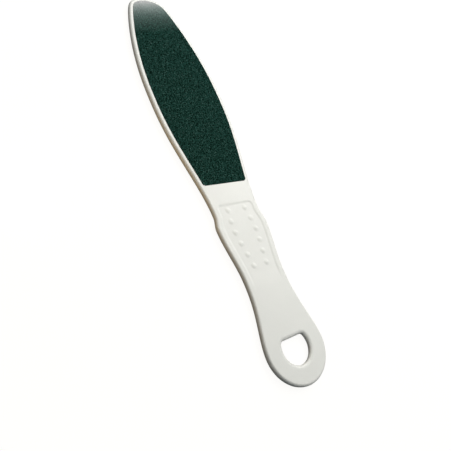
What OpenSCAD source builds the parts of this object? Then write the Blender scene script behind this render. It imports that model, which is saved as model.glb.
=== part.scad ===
// Two-sided foot file: a flat moulded handle with a leaf-shaped head, and a coated abrasive sheet
// glued into a shallow seat on each face of the head.
// X runs along the file from the tip (-X) to the round end (+X), and +Z points out of the front
// face. The file lies on its rear sheet, and its origin is under the middle of its length.

/* [Plate] */
// Thickness of the moulded plate
plate_thickness = 3.5; // [3.2:0.1:4.4]
// Radius that rounds the edge of the plate, front and rear
edge_radius = 1.5; // [1:0.1:1.5]

/* [Head] */
// Length from the tip to the widest part of the head
head_rise = 77.2; // [70:0.2:86]
// Full width of the head at its widest
head_width = 53.2; // [48:0.2:58]
// Radius of the round tip
tip_radius = 19; // [15:0.5:23]
// Full width that the two flanks of the head would have if they ran on to the tip
shoulder_width = 23.4; // [20:0.2:28]
// Length from the widest part of the head to the neck
head_fall = 85.6; // [76:0.2:94]
// How late the head narrows to the neck: 1 is even, and more is later
fall_lean = 1.3; // [1:0.05:1.5]

/* [Handle] */
// Full width of the neck behind the abrasive sheet
neck_width = 33.4; // [30:0.2:36]
// Length from the neck to the finger swell
swell_rise = 7.8; // [6:0.2:12]
// Full width of the finger swell
swell_width = 36.6; // [35:0.2:41]
// Length from the finger swell to the waist
swell_fall = 32.8; // [29:0.2:42]
// Full width of the waist
waist_width = 29.6; // [27:0.2:34]
// Length from the waist to the centre of the round end
flare_length = 41; // [34:0.2:48]
// How late the handle widens to its end: 1 is even, and more is later
flare_lean = 1.3; // [1:0.05:1.6]
// Radius of the round end
end_radius = 20.6; // [19:0.2:24]

/* [Hang hole] */
// Radius of the round side of the hole
hole_radius = 9.6; // [8:0.1:11]
// Distance from the centre of the round side to the flat side
hole_flat = 5.4; // [4.5:0.1:6.3]
// Radius of the two corners at the flat side
hole_corner = 2.2; // [1.8:0.1:3]
// Radius that rounds the rim of the hole
hole_lip = 1.4; // [0.6:0.1:1.4]

/* [Abrasive sheets] */
// Width of the plate left bare round a sheet
sheet_rim = 2.8; // [2.4:0.1:3.8]
// Length from the straight end of a sheet to the neck
sheet_to_neck = 19.4; // [14:0.2:26]
// Radius of the two corners at the straight end
sheet_corner = 2; // [1:0.1:3]
// Thickness of the adhesive film
adhesive_thickness = 0.1; // [0.06:0.02:0.2]
// Thickness of the backing cloth
backing_thickness = 0.35; // [0.25:0.05:0.5]
// Thickness of the grit coat
grit_thickness = 0.45; // [0.3:0.05:0.6]
// Depth of the seat that takes a sheet
seat_depth = 0.5; // [0.3:0.05:0.6]
// Gap between the edge of a sheet and the wall of its seat
seat_gap = 0.2; // [0.1:0.05:0.3]

/* [Grip panels] */
// Width of the plate between the outline and the middle of a panel's wall
panel_rim = 4; // [3.4:0.1:5]
// Length from the straight end of a panel to the neck
panel_lead = 5.8; // [3:0.2:9]
// Width over which the wall eases down to the floor
panel_wall = 2; // [1.2:0.1:2.4]
// Length of the even floor
panel_length = 41.4; // [40:0.2:46]
// Length of the slope that brings the floor back up to the face
panel_run_out = 11; // [7:0.5:16]
// Depth of the floor below the face
panel_depth = 0.25; // [0.2:0.05:0.4]
// Radius of the two corners at the straight end
panel_corner = 2.5; // [1.5:0.1:3.5]

/* [Grip nubs] */
// Number of nubs in a row, two rows to a panel
nub_count = 6; // [4:1:6]
// Distance from one nub to the next along a row
nub_pitch = 7; // [6:0.05:7.4]
// Distance from the straight end of the panel to the first nub
nub_lead = 3.7; // [3.2:0.1:4.4]
// Distance from a row to the outline that it follows
nub_inset = 10.4; // [8:0.1:12]
// Width of a nub at its foot
nub_width = 3.6; // [2.6:0.1:4]
// Height of a nub above the floor
nub_height = 0.4; // [0.3:0.05:0.6]

/* [Hidden] */

// Places along the file, from the tip
peak_x = head_rise;
neck_x = peak_x + head_fall;
swell_x = neck_x + swell_rise;
waist_x = swell_x + swell_fall;
end_x = waist_x + flare_length;
file_length = end_x + end_radius;
sheet_end = neck_x - sheet_to_neck;
panel_start = neck_x - panel_lead;
panel_floor_end = panel_start + panel_length;
panel_end = panel_floor_end + panel_run_out;

// Heights, from the middle of the plate's thickness
face_z = plate_thickness / 2;
seat_z = face_z - seat_depth;
panel_z = face_z - panel_depth;
backing_z = seat_z + adhesive_thickness;
grit_z = backing_z + backing_thickness;
top_z = grit_z + grit_thickness;

// Steps along each stretch of the outline, and round an edge, a corner and the hole
tip_steps = 30;
fall_steps = 24;
swell_steps = 7;
waist_steps = 14;
flare_steps = 16;
end_steps = 20;
edge_steps = 4;
corner_steps = 4;
hole_steps = 32;
wall_steps = 5;
nub_segments = 32;
// Share of the panel's depth at which the wall begins, so that the cut always crosses the face
wall_start = 0.04;
// How much the steps crowd towards the tip, and how tightly the tip turns into the flanks
tip_crowding = 1.5;
shoulder_power = 8;
// How far a cut runs past the surface that it opens
overrun = plate_thickness / 4;

// Outline of the plate: its half width at a distance x from the tip
function smooth(s) = s * s * (3 - 2 * s);
function blend(from, to, s, lean = 1) = from + (to - from) * smooth(pow(s, lean));
function tip_half(x) = sqrt(2 * tip_radius * x);
function flank_half(x) = head_width / 2 - (head_width - shoulder_width) / 2 * pow(1 - x / peak_x, 2);
// The lesser of two widths, with the corner where they cross rounded off
function softer_of(a, b) = a * b / pow(pow(a, shoulder_power) + pow(b, shoulder_power), 1 / shoulder_power);
function half_width(x) =
    x <= peak_x ? softer_of(tip_half(x), flank_half(x))
    : x <= neck_x ? blend(head_width / 2, neck_width / 2, (x - peak_x) / head_fall, fall_lean)
    : x <= swell_x ? blend(neck_width / 2, swell_width / 2, (x - neck_x) / swell_rise)
    : x <= waist_x ? blend(swell_width / 2, waist_width / 2, (x - swell_x) / swell_fall)
    : x <= end_x ? blend(waist_width / 2, end_radius, (x - waist_x) / flare_length, flare_lean)
    : sqrt(max(0, pow(end_radius, 2) - pow(x - end_x, 2)));

// Stations along X, close together where the outline turns quickly
function even(from, length, steps) = [for (i = [0 : steps - 1]) from + length * i / steps];
stations = concat(
    [for (i = [0 : tip_steps - 1]) peak_x * (1 - cos(90 * pow(i / tip_steps, tip_crowding)))],
    even(peak_x, head_fall, fall_steps),
    even(neck_x, swell_rise, swell_steps),
    even(swell_x, swell_fall, waist_steps),
    even(waist_x, flare_length, flare_steps),
    [for (i = [0 : end_steps]) end_x + end_radius * sin(90 * i / end_steps)]
);
half_line = [for (x = stations) [x, half_width(x)]];
last = len(half_line) - 1;

// Outward direction of the half outline at its point i, square to the line between its neighbours
function unit(v) = v / norm(v);
function outward(i) =
    i == 0 ? [-1, 0]
    : i == last ? [1, 0]
    : let (along = unit(half_line[i + 1] - half_line[i - 1])) [-along.y, along.x];

// Half outline moved in by a distance, and the height of that line at x
function inset_half(inset) = [for (i = [0 : last]) half_line[i] - inset * outward(i)];
function slope(x) = (half_width(x + overrun) - half_width(x - overrun)) / (2 * overrun);
function inset_y(x, inset) = half_width(x) - inset * norm([1, slope(x)]);

// A closed loop from the half of it on +Y, which starts and may end on the X axis
function both_halves(half) = concat(
    [for (p = half) [p.x, -p.y]],
    [for (i = [len(half) - 1 : -1 : 0]) if (half[i].y > 0) half[i]]
);
function plate_loop(inset) = both_halves(inset_half(inset));

// Arc on +Y for a rounded corner
function arc(centre, radius, from, to) =
    [for (i = [0 : corner_steps])
        let (a = from + (to - from) * i / corner_steps)
        centre + radius * [cos(a), sin(a)]];

// Outline of an abrasive sheet, grown all round by a gap where it is used for the seat
function sheet_loop(gap) =
    let (
        inset = sheet_rim - gap,
        radius = sheet_corner + gap,
        corner_x = sheet_end + gap - radius,
        side_y = inset_y(corner_x, inset),
        side = [for (p = inset_half(inset)) if (p.x < corner_x) p],
        turn = atan(-slope(corner_x))
    )
    both_halves(concat(side, arc([corner_x, side_y - radius], radius, 90 - turn, 0)));

// Outline of a grip panel, grown all round by a distance, which runs on a little past its end
function panel_loop(grow) =
    let (
        corner_x = panel_start + panel_corner,
        corner_y = inset_y(corner_x, panel_rim) - panel_corner,
        on_floor = [for (x = stations) if (x > corner_x && x < panel_floor_end - overrun) x],
        on_slope = [for (x = stations) if (x > panel_floor_end + overrun && x < panel_end) x],
        rows = concat(on_floor, [panel_floor_end], on_slope, [panel_end + overrun])
    )
    both_halves(concat(
        arc([corner_x, corner_y], panel_corner + grow, 180, 90),
        [for (x = rows) [x, inset_y(x, panel_rim - grow)]]
    ));

// Height at x of a level that lies a share of the way down the wall of a panel. The slope carries on
// past its end, where it comes out above the face.
function panel_level(x, share) =
    let (run = max(0, x - panel_floor_end) / panel_run_out)
    face_z - panel_depth * (wall_start + (1 - wall_start) * smooth(share)) * (1 - run);

// Outline of the D-shaped hole about the centre of its round side, grown by a distance
function hole_loop(grow) =
    let (
        corner_x = hole_corner - hole_flat,
        corner_y = sqrt(pow(hole_radius - hole_corner, 2) - pow(corner_x, 2)),
        turn = atan2(corner_y, corner_x),
        radius = hole_radius + grow,
        round_side = [for (i = [0 : hole_steps])
            let (a = turn * (2 * i / hole_steps - 1))
            radius * [cos(a), sin(a)]],
        corner = [for (i = [1 : corner_steps])
            let (a = turn + (180 - turn) * i / corner_steps)
            [corner_x, corner_y] + (hole_corner + grow) * [cos(a), sin(a)]]
    )
    concat(
        round_side,
        corner,
        [for (i = [corner_steps - 1 : -1 : 0]) [corner[i].x, -corner[i].y]]
    );

// Levels of a rounded edge through the plate, each with its distance in from the wall and its z
function edge_levels(radius) = concat(
    [for (i = [edge_steps : -1 : 0])
        let (a = 90 * i / edge_steps)
        [radius * (1 - cos(a)), radius * (1 - sin(a)) - face_z]],
    [for (i = [0 : edge_steps])
        let (a = 90 * i / edge_steps)
        [radius * (1 - cos(a)), face_z - radius * (1 - sin(a))]]
);

// Side faces between two loops of a skin, given the first point of each
function wall_faces(lower, upper, size) = concat(
    [for (i = [0 : size - 1]) [lower + i, upper + i, upper + (i + 1) % size]],
    [for (i = [0 : size - 1]) [lower + i, upper + (i + 1) % size, lower + (i + 1) % size]]
);
function skin_points(loops, heights) =
    [for (k = [0 : len(loops) - 1]) for (p = loops[k]) [p.x, p.y, heights[k]]];

// Solid skin over a stack of loops that all have the same number of points
module stack(loops, heights) {
    size = len(loops[0]);
    top = len(loops) - 1;
    polyhedron(
        points = skin_points(loops, heights),
        faces = concat(
            [[for (i = [0 : size - 1]) i]],
            [[for (i = [size - 1 : -1 : 0]) top * size + i]],
            [for (k = [0 : top - 1]) each wall_faces(k * size, (k + 1) * size, size)]
        )
    );
}

// Rounded rim of the moulding, which runs all round the flat core and meets it at a vertical wall
module rounded_rim() {
    levels = edge_levels(edge_radius);
    loops = [for (level = levels) plate_loop(level[0])];
    size = len(loops[0]);
    polyhedron(
        points = skin_points(loops, [for (level = levels) level[1]]),
        faces = [for (k = [0 : len(levels) - 1])
            each wall_faces(k * size, (k + 1) % len(levels) * size, size)]
    );
}

// Flat core of the moulding, as wide as its two flat faces
module core() {
    linear_extrude(plate_thickness, center = true)
        polygon(plate_loop(edge_radius));
}

// Cut for the hang hole, which flares to its rounded rim at both faces
module hole_cut() {
    levels = edge_levels(hole_lip);
    loops = [for (level = levels) hole_loop(level[0])];
    wide = hole_loop(hole_lip);
    heights = [for (level = levels) level[1]];
    translate([end_x, 0, 0])
        stack(concat([wide], loops, [wide]), concat([-face_z - overrun], heights, [face_z + overrun]));
}

// Cut for the seat of the front sheet
module seat_cut() {
    translate([0, 0, seat_z])
        linear_extrude(seat_depth + overrun)
            polygon(sheet_loop(seat_gap));
}

// Cut for the front grip panel: its wall eases down to an even floor, which slopes back up to the
// face towards the round end. Each pair of points across the floor is joined by a straight line.
module panel_cut() {
    shares = [for (k = [wall_steps : -1 : 0]) k / wall_steps];
    loops = [for (share = shares) panel_loop(panel_wall * (0.5 - share))];
    size = len(loops[0]);
    sunk = [for (k = [0 : wall_steps]) for (p = loops[k]) [p.x, p.y, panel_level(p.x, shares[k])]];
    above = [for (p = loops[wall_steps]) [p.x, p.y, face_z + overrun]];
    top = len(sunk);
    polyhedron(
        points = concat(sunk, above),
        faces = concat(
            [for (i = [0 : size / 2 - 2]) [i, i + 1, size - 2 - i, size - 1 - i]],
            [[for (i = [size - 1 : -1 : 0]) top + i]],
            [for (k = [0 : wall_steps]) each wall_faces(k * size, (k + 1) * size, size)]
        )
    );
}

// One nub: the cap of a ball that stands on the floor of the panel
module nub() {
    ball_radius = (pow(nub_width / 2, 2) + pow(nub_height, 2)) / (2 * nub_height);
    intersection() {
        translate([0, 0, nub_height - ball_radius])
            sphere(ball_radius, $fn = nub_segments);
        translate([0, 0, -nub_height])
            cylinder(h = 2 * nub_height, d = nub_width, $fn = nub_segments);
    }
}

// Nubs of the front panel, in two rows that follow the outline
module nub_rows() {
    for (i = [0 : nub_count - 1], side = [-1, 1]) {
        x = panel_start + nub_lead + i * nub_pitch;
        translate([x, side * (half_width(x) - nub_inset), panel_z])
            nub();
    }
}

// Puts a part of the file on its front, its rear or both, about the middle of the plate
module on_front() {
    translate([-file_length / 2, 0, top_z])
        children();
}

module on_rear() {
    on_front()
        mirror([0, 0, 1])
            children();
}

// One layer of a sheet, die-cut to the sheet's outline
module sheet_layer(height, thickness) {
    translate([0, 0, height])
        linear_extrude(thickness)
            polygon(sheet_loop(0));
}

// One moulding in white plastic, with a seat and a grip panel on each face
module handle() {
    color([0.92, 0.92, 0.9]) {
        difference() {
            on_front() core();
            on_front() seat_cut();
            on_rear() seat_cut();
            on_front() panel_cut();
            on_rear() panel_cut();
            on_front() hole_cut();
        }
        on_front() rounded_rim();
        on_front() nub_rows();
        on_rear() nub_rows();
    }
}

// Clear film of pressure-sensitive adhesive on the floor of the front seat
module front_adhesive() {
    color([0.86, 0.8, 0.62])
        on_front() sheet_layer(seat_z, adhesive_thickness);
}

// Cloth backing of the front sheet
module front_backing() {
    color([0.3, 0.32, 0.28])
        on_front() sheet_layer(backing_z, backing_thickness);
}

// Coarse dark green grit coat of the front sheet
module front_grit() {
    color([0.11, 0.22, 0.19])
        on_front() sheet_layer(grit_z, grit_thickness);
}

// Film of adhesive on the floor of the rear seat
module rear_adhesive() {
    color([0.86, 0.8, 0.62])
        on_rear() sheet_layer(seat_z, adhesive_thickness);
}

// Cloth backing of the rear sheet
module rear_backing() {
    color([0.3, 0.32, 0.28])
        on_rear() sheet_layer(backing_z, backing_thickness);
}

// Finer grit coat of the rear sheet, on which the file lies
module rear_grit() {
    color([0.14, 0.25, 0.22])
        on_rear() sheet_layer(grit_z, grit_thickness);
}

handle();
front_adhesive();
front_backing();
front_grit();
rear_adhesive();
rear_backing();
rear_grit();
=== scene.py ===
# A two-sided foot file lying on its rear sheet: one white moulding with a shallow seat in each face
# of its head, and in each seat a sheet of adhesive film, backing cloth and green grit.
import math

import bpy
import numpy as np
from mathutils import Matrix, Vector
from mathutils.geometry import delaunay_2d_cdt


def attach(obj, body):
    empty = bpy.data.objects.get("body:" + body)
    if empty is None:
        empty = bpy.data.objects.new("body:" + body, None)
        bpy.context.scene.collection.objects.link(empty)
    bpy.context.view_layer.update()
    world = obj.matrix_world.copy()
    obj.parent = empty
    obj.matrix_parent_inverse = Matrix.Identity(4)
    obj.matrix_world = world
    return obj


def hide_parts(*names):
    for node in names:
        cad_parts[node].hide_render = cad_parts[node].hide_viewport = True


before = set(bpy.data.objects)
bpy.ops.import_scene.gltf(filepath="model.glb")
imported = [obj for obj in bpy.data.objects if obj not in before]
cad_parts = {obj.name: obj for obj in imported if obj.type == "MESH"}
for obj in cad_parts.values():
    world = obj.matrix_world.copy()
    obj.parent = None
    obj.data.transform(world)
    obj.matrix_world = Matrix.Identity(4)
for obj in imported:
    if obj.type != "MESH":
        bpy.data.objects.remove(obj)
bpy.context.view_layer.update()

# The handle: one flat injection moulding in white plastic, with a leaf-shaped head, a rounded edge,
# a sunk grip panel with nubs on each face and a D-shaped hang hole with a soft rim. Its two mould
# halves meet in a fine line round the middle of the edge. Lengths are in mm from the tip.
MM = 0.001
tiny = 1e-7
mesh_step = 0.7

# The plate, from the tip at 0 over its widest place, neck, thumb swell and waist to the round end
plate_thickness = 3.5
tip_radius = 19
tip_fullness = 8
shoulder_width = 23.4
peak_x = 77.2
head_width = 53.2
neck_x = peak_x + 85.6
neck_width = 33.4
swell_x = neck_x + 7.8
swell_width = 36.6
waist_x = swell_x + 32.8
waist_width = 29.6
end_x = waist_x + 41
end_radius = 20.6
long_lean = 1.3
file_length = end_x + end_radius

# Heights from the middle of the plate, and the middle's own height over the surface under the file
face_z = plate_thickness / 2
sheet_proud = 0.4
middle_z = sheet_proud + face_z


def smooth(s):
    return s * s * (3 - 2 * s)


def blend(start, stop, s, lean=1.0):
    """From start to stop with level ends; a lean above 1 holds on to the start for longer"""
    return start + (stop - start) * smooth(s**lean)


def head_half(x):
    """Half the width of the head: a round tip that runs into a bowed flank"""
    tip = math.sqrt(2 * tip_radius * x)
    flank = head_width / 2 - (head_width - shoulder_width) / 2 * (1 - x / peak_x) ** 2
    return tip * flank / (tip**tip_fullness + flank**tip_fullness) ** (1 / tip_fullness)


def half_width(x):
    """Half the width of the plate at a distance x from its tip"""
    if x <= peak_x:
        return head_half(x)
    if x <= neck_x:
        return blend(head_width / 2, neck_width / 2, (x - peak_x) / (neck_x - peak_x), long_lean)
    if x <= swell_x:
        return blend(neck_width / 2, swell_width / 2, (x - neck_x) / (swell_x - neck_x))
    if x <= waist_x:
        return blend(swell_width / 2, waist_width / 2, (x - swell_x) / (waist_x - swell_x))
    if x <= end_x:
        return blend(waist_width / 2, end_radius, (x - waist_x) / (end_x - waist_x), long_lean)
    return math.sqrt(max(0.0, end_radius**2 - (x - end_x) ** 2))


def widening(x):
    """How fast the plate's half width grows at x, taken over a millimetre"""
    return half_width(x + 0.5) - half_width(x - 0.5)


def half_outline(step):
    """Half the outline in even steps, from the tip to the round end, and its outward directions"""
    tip_steps, side_steps, end_steps = 3000, 6000, 1500
    crowding = 1.5
    right_angle = math.pi / 2
    turns = [right_angle * (i / tip_steps) ** crowding for i in range(tip_steps)]
    fine = [peak_x * (1 - math.cos(turn)) for turn in turns]
    fine += list(np.linspace(peak_x, end_x, side_steps, endpoint=False))
    fine += [end_x + end_radius * math.sin(right_angle * i / end_steps) for i in range(end_steps + 1)]
    line = np.array([(x, half_width(x)) for x in fine])
    along = np.gradient(line, axis=0)
    along /= np.linalg.norm(along, axis=1, keepdims=True)
    run = np.concatenate(([0.0], np.cumsum(np.linalg.norm(np.diff(line, axis=0), axis=1))))
    at = np.linspace(0, run[-1], round(run[-1] / step) + 1)
    points = np.column_stack([np.interp(at, run, line[:, k]) for k in (0, 1)])
    outward = np.column_stack([np.interp(at, run, -along[:, 1]), np.interp(at, run, along[:, 0])])
    outward[0], outward[-1] = (-1, 0), (1, 0)
    points[-1, 1] = 0
    return points, outward


outline_half, outline_out = half_outline(mesh_step)


def inset_y(x, inset):
    """Half the width at x of the outline when it is drawn in by an inset"""
    return half_width(x) - inset * math.hypot(1, widening(x))


def both_halves(half):
    """A closed loop, counter-clockwise, from its half above the middle line"""
    half = np.asarray(half)
    back = half[::-1]
    return np.vstack([half * (1, -1), back[back[:, 1] > tiny]])


def arc(centre, radius, start, stop, steps):
    turn = np.radians(np.linspace(start, stop, steps + 1))
    return np.asarray(centre) + radius * np.column_stack([np.cos(turn), np.sin(turn)])


def plate_loop(inset):
    return both_halves(outline_half - inset * outline_out)


def inside(spots, loop):
    """Which spots lie inside a closed loop"""
    result = np.zeros(len(spots), bool)
    ends = np.roll(loop, -1, axis=0)
    x, y = spots[:, 0], spots[:, 1]
    for (ax, ay), (bx, by) in zip(loop, ends):
        if ay != by:
            crosses = (ay > y) != (by > y)
            result ^= crosses & (x < (bx - ax) * (y - ay) / (by - ay) + ax)
    return result


class Surface:
    """Points with heights, the lines that join them, and the triangles that fill between them"""

    def __init__(self):
        self.points, self.heights, self.lines = [], [], []

    def dots(self, points, heights):
        first = len(self.points)
        self.points += [tuple(p) for p in points]
        self.heights += list(np.broadcast_to(heights, len(points)))
        return np.arange(first, len(self.points))

    def loop(self, points, heights):
        rows = self.dots(points, heights)
        self.lines += list(zip(rows.tolist(), np.roll(rows, -1).tolist()))
        return rows

    def fill(self, outer, holes=()):
        """Triangles inside the outer loop and outside the holes, over the points as they were given"""
        flat = [Vector(p) for p in self.points]
        corners, _, triangles, origins, _, _ = delaunay_2d_cdt(flat, self.lines, [], 0, tiny, True)
        source = np.array([ids[0] if ids else -1 for ids in origins])
        if len(corners) != len(flat) or source.min() < 0:
            raise ValueError("two lines of the surface cross")
        faces = source[np.array(triangles)]
        spots = np.array(self.points)
        middle = spots[faces].mean(axis=1)
        keep = inside(middle, spots[outer])
        for hole in holes:
            keep &= ~inside(middle, spots[hole])
        faces = faces[keep]
        a, b, c = (spots[faces[:, k]] for k in range(3))
        ab, ac = b - a, c - a
        area = ab[:, 0] * ac[:, 1] - ab[:, 1] * ac[:, 0]
        faces[area < 0] = faces[area < 0][:, ::-1]
        return faces


# The plate's rounded edge, down to the fine ridge where the mould halves meet
edge_radius = 1.5
edge_band = 0.25
ridge_height = 0.04
ridge_half_width = 0.08
quarter = [math.radians(a) for a in np.linspace(0, 90, 10)]
face = Surface()
face.loop(plate_loop(edge_radius + edge_band), face_z)
for a in quarter:
    inset = ridge_height + edge_radius * (1 - math.sin(a))
    wall = face.loop(plate_loop(inset), face_z - edge_radius * (1 - math.cos(a)))

# The hang hole: round towards the end of the file, flat towards the grip, with a soft rim
hole_radius = 9.6
hole_flat = 5.4
hole_corner = 2.2
hole_lip_depth = 1.4
hole_lip_run = 2.1
hole_band = 0.2
hole_round_steps = 72
hole_corner_steps = 8


def hole_loop(grow):
    """Outline of the hang hole, grown all round"""
    corner_x = hole_corner - hole_flat
    corner_y = math.sqrt((hole_radius - hole_corner) ** 2 - corner_x**2)
    turn = math.degrees(math.atan2(corner_y, corner_x))
    round_side = arc((0, 0), hole_radius + grow, -turn, turn, hole_round_steps)
    upper = arc((corner_x, corner_y), hole_corner + grow, turn, 180, hole_corner_steps)[1:]
    return np.vstack([round_side, upper, upper[::-1] * (1, -1)]) + (end_x, 0)


face.loop(hole_loop(hole_lip_run + hole_band), face_z)
for a in quarter:
    grow = hole_lip_run * (1 - math.sin(a))
    bore = face.loop(hole_loop(grow), face_z - hole_lip_depth * (1 - math.cos(a)))

# The seat for a sheet, a rim's width inside the outline. Each pair of its wall is how far a loop
# lies outside the gap round the sheet, and its share of the seat's depth.
sheet_rim = 2.8
sheet_end = neck_x - 19.4
sheet_corner = 2
sheet_corner_steps = 8
sheet_point_gap = 0.1
seat_depth = 0.5
seat_gap = 0.06
seat_wall = [(0.25, 0), (0.07, 0), (0.03, 0.04), (0, 0.15), (-0.01, 0.9), (-0.04, 1), (-0.3, 1)]


def sheet_loop(gap, line=(outline_half, outline_out)):
    """Outline of an abrasive sheet, grown all round by a gap"""
    inset = sheet_rim - gap
    radius = sheet_corner + gap
    corner_x = sheet_end + gap - radius
    side = line[0] - inset * line[1]
    side = side[side[:, 0] < corner_x - sheet_point_gap]
    side[0, 1] = 0
    turn = math.degrees(math.atan(-widening(corner_x)))
    centre = (corner_x, inset_y(corner_x, inset) - radius)
    return both_halves(np.vstack([side, arc(centre, radius, 90 - turn, 0, sheet_corner_steps)]))


for grow, fall in seat_wall:
    face.loop(sheet_loop(seat_gap + grow), face_z - seat_depth * fall)

# The grip panel: a sunk floor inside an eased wall that follows the outline. Towards the hole the
# floor runs out into the face.
panel_rim = 4
panel_start = neck_x - 5.8
panel_floor_end = panel_start + 41.4
panel_end = panel_floor_end + 11
panel_close = 1
panel_depth = 0.25
panel_corner = 2.5
panel_corner_steps = 10
panel_point_gap = 0.3
panel_wall_start = 0.75
panel_wall_run = 1.8
panel_wall_lean = 0.93
panel_wall_shares = (-0.08, *np.linspace(0, 1, 10), 1.09)
run_out_shift = 0.5
run_out_rows = list(np.linspace(panel_floor_end + run_out_shift, panel_end + run_out_shift, 19))
panel_rows = list(np.arange(panel_start, panel_floor_end, mesh_step)) + run_out_rows


def panel_loop(grow):
    """Outline of a grip panel, grown all round, closed just past the end of its floor"""
    corner_x = panel_start + panel_corner
    corner = (corner_x, inset_y(corner_x, panel_rim) - panel_corner)
    stop = panel_end + panel_close + grow
    rows = [x for x in panel_rows if corner_x + panel_point_gap < x < stop - panel_point_gap] + [stop]
    side = [(x, inset_y(x, panel_rim - grow)) for x in rows]
    return both_halves(np.vstack([arc(corner, panel_corner + grow, 180, 90, panel_corner_steps), side]))


def panel_fall(x):
    """Depth of the panel's floor at x, which runs out towards the round end"""
    s = min(1.0, max(0.0, (x - panel_floor_end) / (panel_end - panel_floor_end)))
    return panel_depth * (1 - smooth(s))


for s in panel_wall_shares:
    spots = panel_loop(panel_wall_start - panel_wall_run * s)
    fall = blend(0, 1, min(1, max(0, s)), panel_wall_lean)
    floor_edge = face.loop(spots, [face_z - fall * panel_fall(p[0]) for p in spots])
for x in run_out_rows:
    ends = [int(i) for i in floor_edge if abs(face.points[i][0] - x) < tiny]
    if x < panel_end and len(ends) == 2:
        face.lines.append(tuple(ends))

# The nubs: two rows of low domes on the floor of the panel, each a stack of rings under a crown
nub_count = 6
nub_pitch = 7
nub_lead = 3.7
nub_inset = 10.4
nub_radius = 2.4
nub_height = 0.27
nub_steepness = 2.4
nub_shares = np.linspace(1, 0.18, 8)
for i in range(nub_count):
    for side in (-1, 1):
        x = panel_start + nub_lead + i * nub_pitch
        centre = (x, side * (half_width(x) - nub_inset))
        for share in nub_shares:
            ring = arc(centre, share * nub_radius, 0, 345, 23)
            rise = nub_height * (1 - share**2) ** nub_steepness
            face.loop(ring, face_z - panel_depth + rise)
        face.dots([centre], face_z - panel_depth + nub_height)


def join_loops(upper, lower):
    """Wall faces between two loops, turned outward for a loop that runs counter-clockwise"""
    return [[a, c, d, b] for a, b, c, d in zip(upper, np.roll(upper, -1), lower, np.roll(lower, -1))]


def add_piece(name, node, points, faces, smooth_faces=True):
    """A mesh from points in mm from the tip, put in the part's frame in place of a CAD node"""
    mesh = bpy.data.meshes.new(name)
    points = (np.asarray(points) + (-file_length / 2, 0, middle_z)) * MM
    mesh.from_pydata(points.tolist(), [], [list(map(int, f)) for f in faces])
    mesh.polygons.foreach_set("use_smooth", [smooth_faces] * len(mesh.polygons))
    mesh.validate()
    piece = bpy.data.objects.new(name, mesh)
    bpy.context.scene.collection.objects.link(piece)
    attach(piece, "root")
    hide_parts(node)
    return piece


# The moulding: the front face, the rear face as its mirror image, and the walls that join them
front = face.fill(wall, [bore])
flat = np.array(face.points)
high = np.array(face.heights)
count = len(flat)
handle_points = [np.column_stack([flat, high]), np.column_stack([flat, -high])]
handle_faces = front.tolist() + (front[:, ::-1] + count).tolist()
rings = [wall]
for inset, z in ((ridge_height, ridge_half_width), (0, 0), (ridge_height, -ridge_half_width)):
    spots = plate_loop(inset)
    first = sum(len(p) for p in handle_points)
    handle_points.append(np.column_stack([spots, np.full(len(spots), float(z))]))
    rings.append(np.arange(first, first + len(spots)))
rings.append(wall + count)
for upper, lower in zip(rings, rings[1:]):
    handle_faces += join_loops(upper, lower)
handle_faces += join_loops(bore + count, bore)
handle = add_piece("moulded_handle", "handle", np.vstack(handle_points), handle_faces)


class Socket:
    """A node's output, so that maths on it is written as an expression"""

    def __init__(self, finish, output):
        self.finish, self.output = finish, output

    def maths(self, operation, *terms):
        return self.finish.node("ShaderNodeMath", {"operation": operation}, dict(enumerate(terms)))

    def __add__(self, other):
        return self.maths("ADD", self, other)

    def __sub__(self, other):
        return self.maths("SUBTRACT", self, other)

    def __rsub__(self, other):
        return self.maths("SUBTRACT", other, self)

    def __mul__(self, other):
        return self.maths("MULTIPLY", self, other)

    __radd__ = __add__
    __rmul__ = __mul__


class Finish:
    """The shader of a material or a world, and the nodes that its sockets are fed from"""

    def __init__(self, owner, shader="Principled BSDF"):
        owner.use_nodes = True
        self.owner = owner
        self.tree = owner.node_tree
        self.shader = self.tree.nodes[shader]

    def node(self, kind, settings, inputs, output=0):
        made = self.tree.nodes.new(kind)
        for name, value in settings.items():
            if name == "stops":
                self.set_stops(made.color_ramp, value)
            else:
                setattr(made, name, value)
        self.feed(made, inputs)
        return Socket(self, made.outputs[output])

    def set_stops(self, ramp, stops):
        while len(ramp.elements) < len(stops):
            ramp.elements.new(0.5)
        for element, (position, level) in zip(ramp.elements, stops):
            element.position = position
            element.color = (level, level, level, 1)

    def feed(self, made, inputs):
        for name, value in inputs.items():
            if isinstance(value, Socket):
                self.tree.links.new(value.output, made.inputs[name])
            elif isinstance(value, tuple) and made.inputs[name].type == "RGBA":
                made.inputs[name].default_value = (*value, 1)
            else:
                made.inputs[name].default_value = value

    def shade(self, **inputs):
        self.feed(self.shader, {name.replace("_", " "): value for name, value in inputs.items()})

    def place(self):
        return self.node("ShaderNodeTexCoord", {}, {}, "Object")

    def noise(self, scale, detail=2.0, roughness=0.5):
        inputs = {"Vector": self.place(), "Scale": scale, "Detail": detail, "Roughness": roughness}
        return self.node("ShaderNodeTexNoise", {}, inputs)

    def ramp(self, value, *stops):
        return self.node("ShaderNodeValToRGB", {"stops": stops}, {"Fac": value})

    def mix(self, amount, first, second):
        return self.node("ShaderNodeMix", {"data_type": "RGBA"}, {0: amount, 6: first, 7: second}, 2)

    def bump(self, height, distance, under=None):
        inputs = {"Height": height, "Distance": distance, "Strength": 1.0}
        if under:
            inputs["Normal"] = under
        return self.node("ShaderNodeBump", {}, inputs)

    def put_on(self, *objects):
        for item in objects:
            item.data.materials.clear()
            item.data.materials.append(self.owner)


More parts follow.
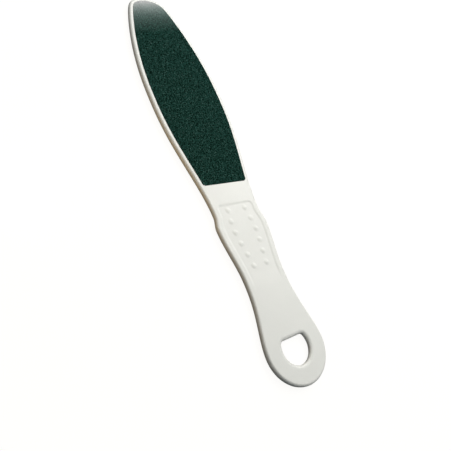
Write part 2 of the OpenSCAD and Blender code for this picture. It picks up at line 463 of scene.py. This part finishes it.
# White plastic as it leaves the mould: a fine even mould grain, faint flow streaks and slightly
# uneven gloss where the mould has polished it.
warm_white = (0.788, 0.78, 0.72)
grey_white = (0.766, 0.76, 0.701)
plastic = Finish(bpy.data.materials.new("white_moulded_plastic"))
flow = plastic.noise(38, 3)
mould_grain = plastic.noise(2600, 2, 0.6)
plastic.shade(
    Base_Color=plastic.mix(plastic.ramp(flow, (0.35, 0), (0.65, 1)), warm_white, grey_white),
    Roughness=0.33 + 0.12 * plastic.noise(420, 2),
    Normal=plastic.bump(mould_grain, 0.012 * MM, under=plastic.bump(flow, 0.12 * MM)),
)
plastic.shade(IOR=1.49, Specular_IOR_Level=0.4)
plastic.put_on(handle)


# The front and rear adhesive: a thin amber film of pressure-sensitive glue, rolled onto the whole
# back of each sheet before die-cutting, that holds the sheet to the floor of its seat.
light_amber = (0.72, 0.63, 0.42)
deep_amber = (0.62, 0.52, 0.32)
glue = Finish(bpy.data.materials.new("amber_adhesive_film"))
swirl = glue.noise(300, 4, 0.6)
glue.shade(
    Base_Color=glue.mix(swirl, light_amber, deep_amber),
    Roughness=0.25 + 0.2 * swirl,
    Normal=glue.bump(swirl, 0.03 * MM),
)
glue.put_on(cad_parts["front_adhesive"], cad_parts["rear_adhesive"])


# The backing cloths: twill-woven cotton filled with dark resin, cut with the sheets. Only their cut
# edges show, in the narrow gap round each seat.
resin_grey = (0.06, 0.065, 0.055)
thread_grey = (0.15, 0.16, 0.135)
cloth = Finish(bpy.data.materials.new("resin_filled_cloth"))


def threads(direction, scale, waver):
    inputs = {"Vector": cloth.place(), "Scale": scale, "Distortion": waver, "Detail": 2.0}
    return cloth.node("ShaderNodeTexWave", {"bands_direction": direction}, inputs)


weave = threads("DIAGONAL", 900, 1.5) * threads("Y", 700, 1.0)
cloth.shade(
    Base_Color=cloth.mix(weave, resin_grey, thread_grey),
    Roughness=0.7 + 0.2 * weave,
    Normal=cloth.bump(weave, 0.08 * MM),
)
cloth.put_on(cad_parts["front_backing"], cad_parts["rear_backing"])


# The two grit coats: mineral grains scattered on the cloth and sized over with dark green resin,
# coarse on the front and fine on the rear. Each grain is a small crest in the mesh, and the coat
# ends at the die-cut edge of its sheet. Towards the tip a pale glare is painted into the colour.
coat_top = face_z + sheet_proud
coat_bottom = coat_top - 0.45
row_share = 0.9
jumble = 0.34
rim_margin = 0.6


def grit_coat(name, node, spacing, relief, up, seed):
    """A coat with one point for each grain, jumbled, and a rough edge down to its cloth"""
    dice = np.random.default_rng(seed)
    coat = Surface()
    rim_line = sheet_loop(0, half_outline(spacing))
    rim = coat.loop(rim_line, coat_top - relief * dice.uniform(0.4, 1, len(rim_line)))
    xs = np.arange(sheet_rim, sheet_end, spacing * row_share)
    ys = np.arange(-head_width / 2, head_width / 2, spacing)
    grid = np.array([(x, y + spacing / 2 * (i % 2)) for i, x in enumerate(xs) for y in ys])
    grid += dice.uniform(-jumble, jumble, grid.shape) * spacing
    grid = grid[inside(grid, sheet_loop(-rim_margin * spacing))]
    crest = dice.beta(1.3, 1.1, len(grid))
    coat.dots(grid, coat_top - relief * (1 - crest))
    top = coat.fill(rim)
    points = np.column_stack([coat.points, coat.heights])
    low = points[rim] * (1, 1, 0) + (0, 0, coat_bottom)
    skirt = np.arange(len(points), len(points) + len(rim))
    base = Surface()
    base.loop(low[:, :2], coat_bottom)
    under = base.fill(np.arange(len(rim)))
    faces = top.tolist() + join_loops(rim, skirt) + (under[:, ::-1] + len(points)).tolist()
    points = np.vstack([points, low])
    if not up:
        points *= (1, 1, -1)
        faces = [f[::-1] for f in faces]
    return add_piece(name, node, points, faces, smooth_faces=False)


front_coat = grit_coat("front_grit_coat", "front_grit",
                       spacing=0.34, relief=0.24, up=True, seed=11)
rear_coat = grit_coat("rear_grit_coat", "rear_grit",
                      spacing=0.36, relief=0.1, up=False, seed=12)

grain_share = 0.35
patch_share = 1.3
patch_level = 0.32
# Painted glare: towards the tip the grit's colour is lifted to pale green and grey, a highlight painted
# into the colour
glare_from = 3
glare_to = 31
glare_slant = 0.171
glare_stops = [(0.05, 0), (0.15, 0.035), (0.3, 0.085), (0.45, 0.15), (0.58, 0.25), (0.68, 0.37),
              (0.78, 0.52), (0.86, 0.68), (0.93, 0.84), (1, 1)]
green_glare = (0.33, 0.46, 0.415)
pale_glare = (0.57, 0.565, 0.55)


def grit_finish(name, scale, dark, light, painted_glint, relief):
    """Grains of different greens under one coat of resin, painted glints on a few, a painted glare at
    the tip
    """
    finish = Finish(bpy.data.materials.new(name))
    cells = finish.node("ShaderNodeTexVoronoi", {}, {"Vector": finish.place(), "Scale": scale}, "Color")
    shade = finish.node("ShaderNodeSeparateColor", {}, {"Color": cells}, 0)
    sparkle = finish.node("ShaderNodeSeparateColor", {}, {"Color": cells}, 1)
    patch = finish.noise(scale * 0.5, 2, 0.6)
    tone = finish.ramp(grain_share * shade + patch_share * patch - patch_level, (0.38, 0), (0.62, 1))
    colour = finish.mix(tone, dark, light)
    # Painted glints: a few cells take a bright colour that stands in for highlights on grain facets, as
    # the grit has no gloss
    colour = finish.mix(finish.ramp(sparkle, (0.93, 0), (0.97, 1)), colour, painted_glint)
    # Painted glare: a ramp along the file that pales the colour towards the tip
    along = finish.node("ShaderNodeSeparateXYZ", {}, {"Vector": finish.place()}, 0)
    across = finish.node("ShaderNodeSeparateXYZ", {}, {"Vector": finish.place()}, 1)
    fade_start = (file_length / 2 - glare_to) * MM
    fade_length = (glare_to - glare_from) * MM
    glare_reach = (-1 * along - glare_slant * across - fade_start) * (1 / fade_length)
    painted_glare = finish.ramp(glare_reach, *glare_stops)
    finish.shade(
        Base_Color=finish.mix(painted_glare, colour, finish.mix(painted_glare, green_glare, pale_glare)),
        Roughness=0.55 + 0.3 * shade,
        Normal=finish.bump(finish.noise(scale * 1.6, 2, 0.7), relief),
    )
    finish.shade(Specular_IOR_Level=0.0)
    return finish


coarse = grit_finish("coarse_green_grit", scale=2400, dark=(0.0002, 0.005, 0.0022),
                     light=(0.0188, 0.0633, 0.0496), painted_glint=(0.06, 0.125, 0.105), relief=0.08 * MM)
coarse.put_on(front_coat)
fine = grit_finish("fine_green_grit", scale=4200, dark=(0.012, 0.034, 0.027),
                   light=(0.028, 0.066, 0.052), painted_glint=(0.09, 0.15, 0.13), relief=0.04 * MM)
fine.put_on(rear_coat)


# The stand for the picture: a plain white floor that shows white to the camera but keeps the soft
# shadow of the file, and pale surroundings that are bright only to the camera and in gloss.
floor_reach = 3.0
floor_drop = 0.1 * MM
floor_corners = [(x * floor_reach, y * floor_reach, -floor_drop)
                 for x, y in ((-1, -1), (1, -1), (1, 1), (-1, 1))]
floor_mesh = bpy.data.meshes.new("white_floor")
floor_mesh.from_pydata(floor_corners, [], [(0, 1, 2, 3)])
floor = bpy.data.objects.new("white_floor", floor_mesh)
bpy.context.scene.collection.objects.link(floor)
paper = Finish(bpy.data.materials.new("white_floor_paper"))
seen = paper.node("ShaderNodeLightPath", {}, {}, "Is Camera Ray")
paper.shade(
    Base_Color=paper.mix(seen, (0.2, 0.2, 0.2), (0.08, 0.08, 0.08)),
    Emission_Color=paper.mix(seen, (0, 0, 0), (0.955, 0.948, 0.93)),
    Roughness=0.9,
)
paper.shade(Emission_Strength=1.0, Specular_IOR_Level=0.0)
paper.put_on(floor)

room_level = 0.1
room_tint = (0.74, 0.9, 1)
room = Finish(bpy.data.worlds.new("pale_room"), "Background")
camera_ray = room.node("ShaderNodeLightPath", {}, {}, "Is Camera Ray")
glossy_ray = room.node("ShaderNodeLightPath", {}, {}, "Is Glossy Ray")
glow = room.node("ShaderNodeMath", {"operation": "MAXIMUM"}, {0: camera_ray, 1: glossy_ray})
room.shade(
    Color=room.mix(glow, room_tint, (1, 1, 1)),
    Strength=room.node("ShaderNodeMix", {}, {0: glow, 2: room_level, 3: 1.0}),
)
bpy.context.scene.world = room.owner

# The lamps: soft discs that light the faces from the right and from above, and two weak ones on the
# left that keep the shaded wall pale and slightly warm.


def lamp(name, place, aim, size, power, colour=(1, 1, 1)):
    light = bpy.data.lights.new(name, "AREA")
    light.shape, light.size, light.energy, light.color = "DISK", size, power, colour
    item = bpy.data.objects.new(name, light)
    item.location = place
    item.rotation_euler = (Vector(aim) - Vector(place)).to_track_quat("-Z", "Y").to_euler()
    bpy.context.scene.collection.objects.link(item)


lamp("key_lamp", (-0.35, 0.5, 0.5), (-0.03, 0, 0), 0.4, 2.38)
lamp("head_lamp", (-0.54, 0.29, 0.34), (-0.1, 0, 0), 0.3, 1.02)
lamp("grip_lamp", (-0.12, 0.57, 0.6), (0.02, 0, 0), 0.4, 1.44)
lamp("end_lamp", (0.15, 0.55, 0.6), (0.03, 0, 0), 0.4, 0.78)
lamp("top_lamp", (-0.15, 0.1, 0.8), (0, 0, 0), 0.5, 2.0)
lamp("side_lamp", (-0.25, -0.35, 0.3), (-0.05, 0, 0), 0.3, 0.08)
lamp("warm_bounce", (0, -0.12, 0.025), (0, -0.02, 0), 0.05, 0.02, (1, 0.6, 0.14))

# The camera: as far off, as high and as rolled as the outline of the file in the picture gives it.
# Its place is in mm from the middle of the front face, and its axes are the picture's own.
lens_px = 450
picture_px = 451
sensor_mm = 36
camera_spot = (100.15, -163.80, 191.83)
right = Vector((0.37869, 0.78340, 0.49283))
down = Vector((0.89090, -0.16426, -0.42346))
into = right.cross(down)
camera_data = bpy.data.cameras.new("camera")
camera_data.sensor_width = sensor_mm
camera_data.lens = sensor_mm * lens_px / picture_px
camera = bpy.data.objects.new("camera", camera_data)
camera.location = (Vector(camera_spot) + Vector((0, 0, middle_z + face_z))) * MM
turn = camera.rotation_euler.to_matrix()
turn.col[0], turn.col[1], turn.col[2] = right, -down, -into
camera.rotation_euler = turn.to_euler()
bpy.context.scene.collection.objects.link(camera)
bpy.context.scene.camera = camera
bpy.context.scene.view_settings.view_transform = "Standard"
